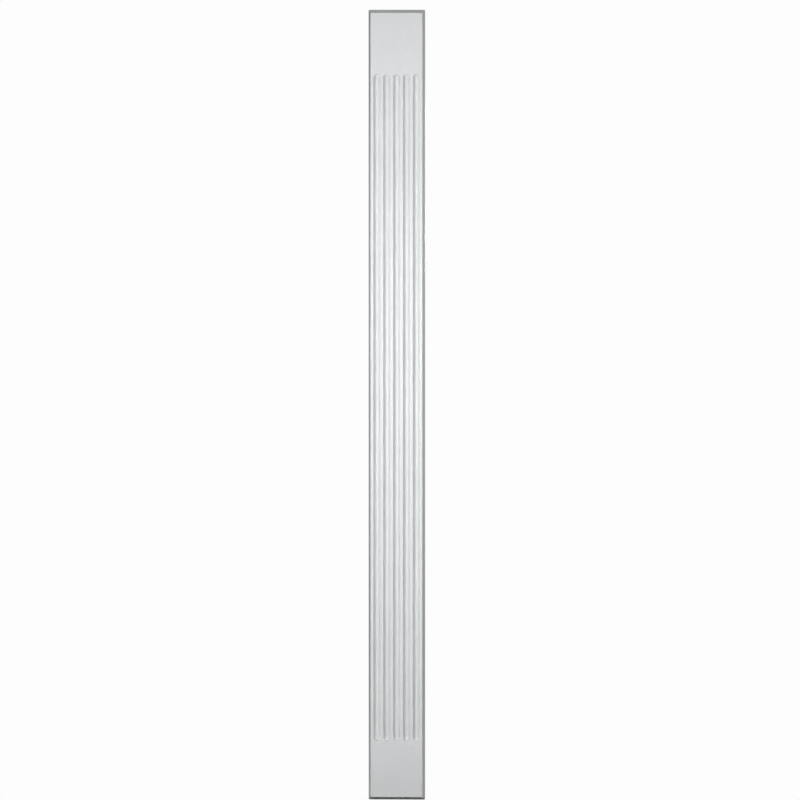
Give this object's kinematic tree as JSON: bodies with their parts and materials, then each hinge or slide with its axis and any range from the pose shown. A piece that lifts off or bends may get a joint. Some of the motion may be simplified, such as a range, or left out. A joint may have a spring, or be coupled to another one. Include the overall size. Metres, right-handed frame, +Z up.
{
  "type": "fluted pilaster",
  "caption": "Flat wall pilaster board with round-bottomed stopped flutes between a plain head and a plain foot; its back fixes flat to a wall.",
  "frame": {"origin": "centre of the flat back, which lies on the wall", "axes": "+Z up along the board, +X across it to the right as seen from the front, +Y out of the back into the wall; the fluted face looks along -Y"},
  "size_m": [0.178, 0.03, 2.489],
  "materials": {
    "white_primer": "satin factory primer, cool white, over moulded foam"
  },
  "bodies": {
    "root": {"pilaster": "white_primer"}
  },
  "joints": []
}
